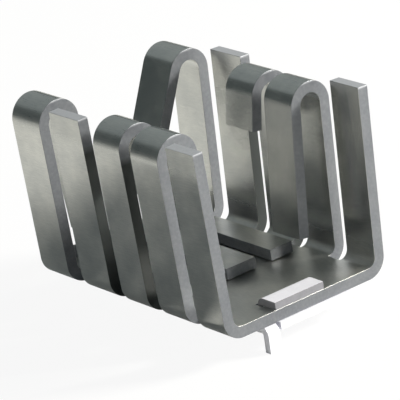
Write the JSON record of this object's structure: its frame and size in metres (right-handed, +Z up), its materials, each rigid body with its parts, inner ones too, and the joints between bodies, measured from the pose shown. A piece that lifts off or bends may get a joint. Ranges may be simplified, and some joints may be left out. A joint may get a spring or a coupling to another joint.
{
  "type": "heat sink",
  "caption": "Small board-mounted heat sink folded from dark anodised sheet, an open channel with straight and hairpin-folded fins and a tinned solder tab with one leg.",
  "frame": {"origin": "on the surface of the board, under the middle of the base's front edge", "axes": "+Z up out of the board, +Y from the front edge with the leg to the rear, +X to the right"},
  "size_m": [0.0272, 0.0381, 0.0281],
  "materials": {
    "anodised_sheet": "dark grey anodised, semi-gloss",
    "tinned_strip": "bright tin plate"
  },
  "bodies": {
    "root": {"heat_sink": "anodised_sheet", "solder_tab": "tinned_strip"}
  },
  "joints": []
}
